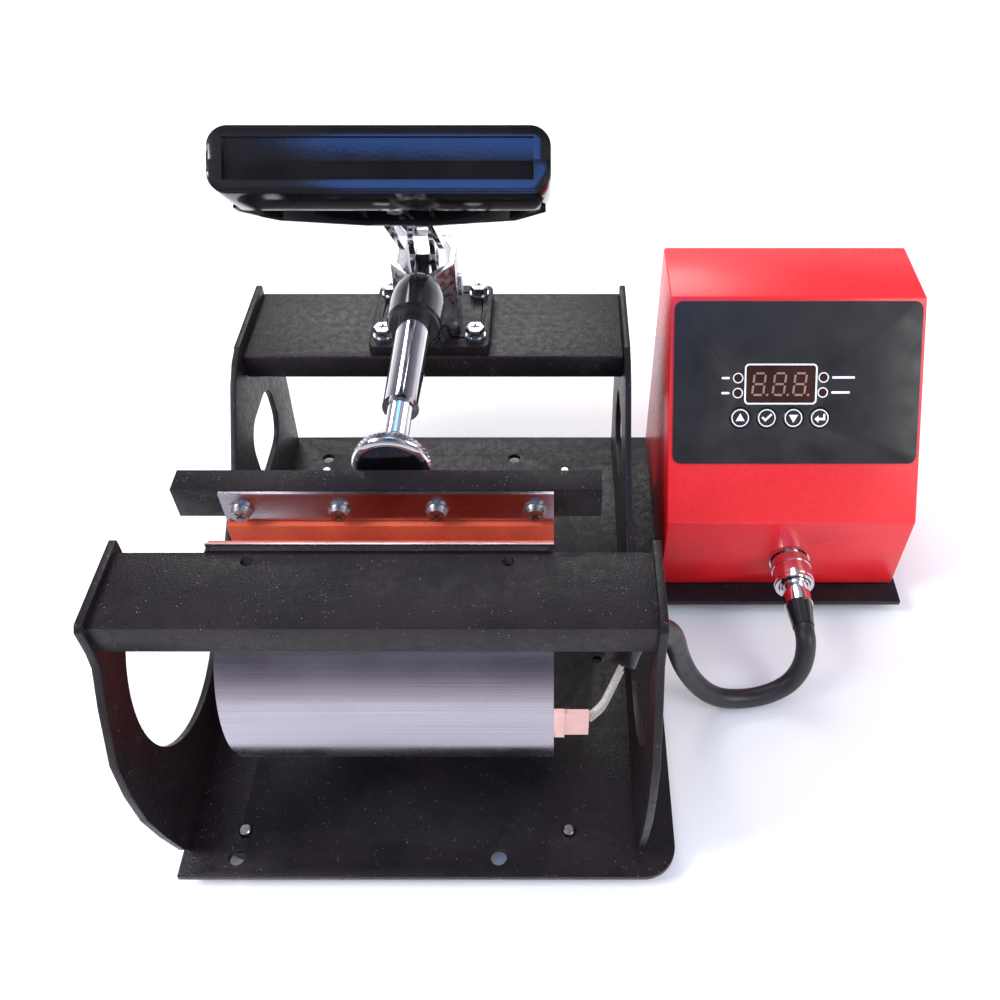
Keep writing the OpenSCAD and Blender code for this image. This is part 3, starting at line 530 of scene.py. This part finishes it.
def knob_mesh(name):
    low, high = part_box("pressure_knob")
    middle = (low + high) / 2
    columns = KNURL_TEETH * COLUMNS_PER_TOOTH
    rows = [(back * MM, radius * MM, False) for back, radius in KNOB_PROFILE]
    for k in range(KNURL_ROWS + 1):
        share = k / KNURL_ROWS
        back = KNURL_START + KNURL_WIDTH * share
        tapered = max(0.0, (share - TAPER_FROM) / (1 - TAPER_FROM))
        radius = KNURL_RADIUS - TAPER_DEPTH * tapered ** TAPER_CURVE
        rows.append((back * MM, radius * MM, 0 < k < KNURL_ROWS))
    rows += [(back * MM, radius * MM, False) for back, radius in KNOB_REAR]
    points = []
    for back, radius, cut in rows:
        for k in range(columns):
            angle = 2 * math.pi * k / columns
            r = max(radius, SMALLEST_RADIUS) - (KNURL_DEPTH * knurl(angle, back) if cut else 0)
            points.append((middle.x + r * math.cos(angle), low.y + back, middle.z + r * math.sin(angle)))
    faces = []
    for row in range(len(rows) - 1):
        for k in range(columns):
            n = (k + 1) % columns
            faces.append((row * columns + k, row * columns + n,
                          (row + 1) * columns + n, (row + 1) * columns + k))
    faces.append(tuple(reversed(range(columns))))
    last = (len(rows) - 1) * columns
    faces.append(tuple(range(last, last + columns)))
    return mesh_piece(name, points, faces, materials["chrome"], "knob")


knob = knob_mesh("knob")
knob.data.shade_smooth()
knob.data.set_sharp_from_angle(angle=math.radians(28))
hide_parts("pressure_knob")

# ---- floor and light ------------------------------------------------------------------------

FLOOR_REACH = 4
floor_mesh = bpy.data.meshes.new("floor")
floor_corners = [(x * FLOOR_REACH, y * FLOOR_REACH, 0) for x, y in ((-1, -1), (1, -1), (1, 1), (-1, 1))]
floor_mesh.from_pydata(floor_corners, [], [(0, 1, 2, 3)])
floor = bpy.data.objects.new("floor", floor_mesh)
scene.collection.objects.link(floor)
floor_surface = Surface("floor", (0.88, 0.88, 0.89), 0.6)
floor_surface.link(floor_surface.ramp(floor_surface.noise(3, 2),
                                      [(0.3, (0.87, 0.87, 0.88)), (0.7, (0.90, 0.90, 0.905))]), "Base Color")
floor_mesh.materials.append(floor_surface.material)


def area_light(name, place, target, size, power, colour=(1, 1, 1)):
    data = bpy.data.lights.new(name, "AREA")
    data.size = size
    data.energy = power
    data.color = colour
    made = bpy.data.objects.new(name, data)
    scene.collection.objects.link(made)
    made.location = place
    made.rotation_euler = (Vector(target) - Vector(place)).to_track_quat("-Z", "Y").to_euler()
    return made


area_light("key", (-1.1, -0.35, 1.15), (0, 0, 0.1), 0.5, 16)
area_light("fill", (1.1, -0.7, 0.9), (0, 0, 0.1), 0.7, 8)
area_light("rim", (-0.2, 1.1, 1.0), (0, 0, 0.1), 0.7, 10)
area_light("blue_panel", (-0.12, -0.5, 1.0), (-0.07, 0.03, 0.25), 0.32, 1.6, (0.05, 0.25, 1.0))


def studio_world():
    """White light for every matt surface; a darker ceiling is what glossy surfaces mirror."""
    made = bpy.data.worlds.new("world")
    made.use_nodes = True
    tree = made.node_tree
    background = tree.nodes["Background"]
    background.inputs["Color"].default_value = (0.95, 0.95, 1.0, 1)
    background.inputs["Strength"].default_value = 0.9
    mirrored = tree.nodes.new("ShaderNodeBackground")
    place = tree.nodes.new("ShaderNodeTexCoord")
    split = tree.nodes.new("ShaderNodeSeparateXYZ")
    fade = tree.nodes.new("ShaderNodeValToRGB")
    stops = [(0.0, (0.9, 0.9, 0.95)), (0.10, (0.75, 0.72, 0.78)), (0.28, (0.30, 0.28, 0.33)),
             (0.62, (0.09, 0.085, 0.11)), (0.80, (0.55, 0.53, 0.60)), (1.0, (0.05, 0.05, 0.07))]
    while len(fade.color_ramp.elements) < len(stops):
        fade.color_ramp.elements.new(0.5)
    for element, (height, colour) in zip(fade.color_ramp.elements, stops):
        element.position = height
        element.color = (*colour, 1)
    path = tree.nodes.new("ShaderNodeLightPath")
    choice = tree.nodes.new("ShaderNodeMixShader")
    tree.links.new(place.outputs["Generated"], split.inputs["Vector"])
    tree.links.new(split.outputs["Z"], fade.inputs["Fac"])
    tree.links.new(fade.outputs["Color"], mirrored.inputs["Color"])
    tree.links.new(path.outputs["Is Glossy Ray"], choice.inputs["Fac"])
    tree.links.new(background.outputs["Background"], choice.inputs[1])
    tree.links.new(mirrored.outputs["Background"], choice.inputs[2])
    tree.links.new(choice.outputs["Shader"], tree.nodes["World Output"].inputs["Surface"])
    return made


scene.world = studio_world()
scene.view_settings.view_transform = "Standard"
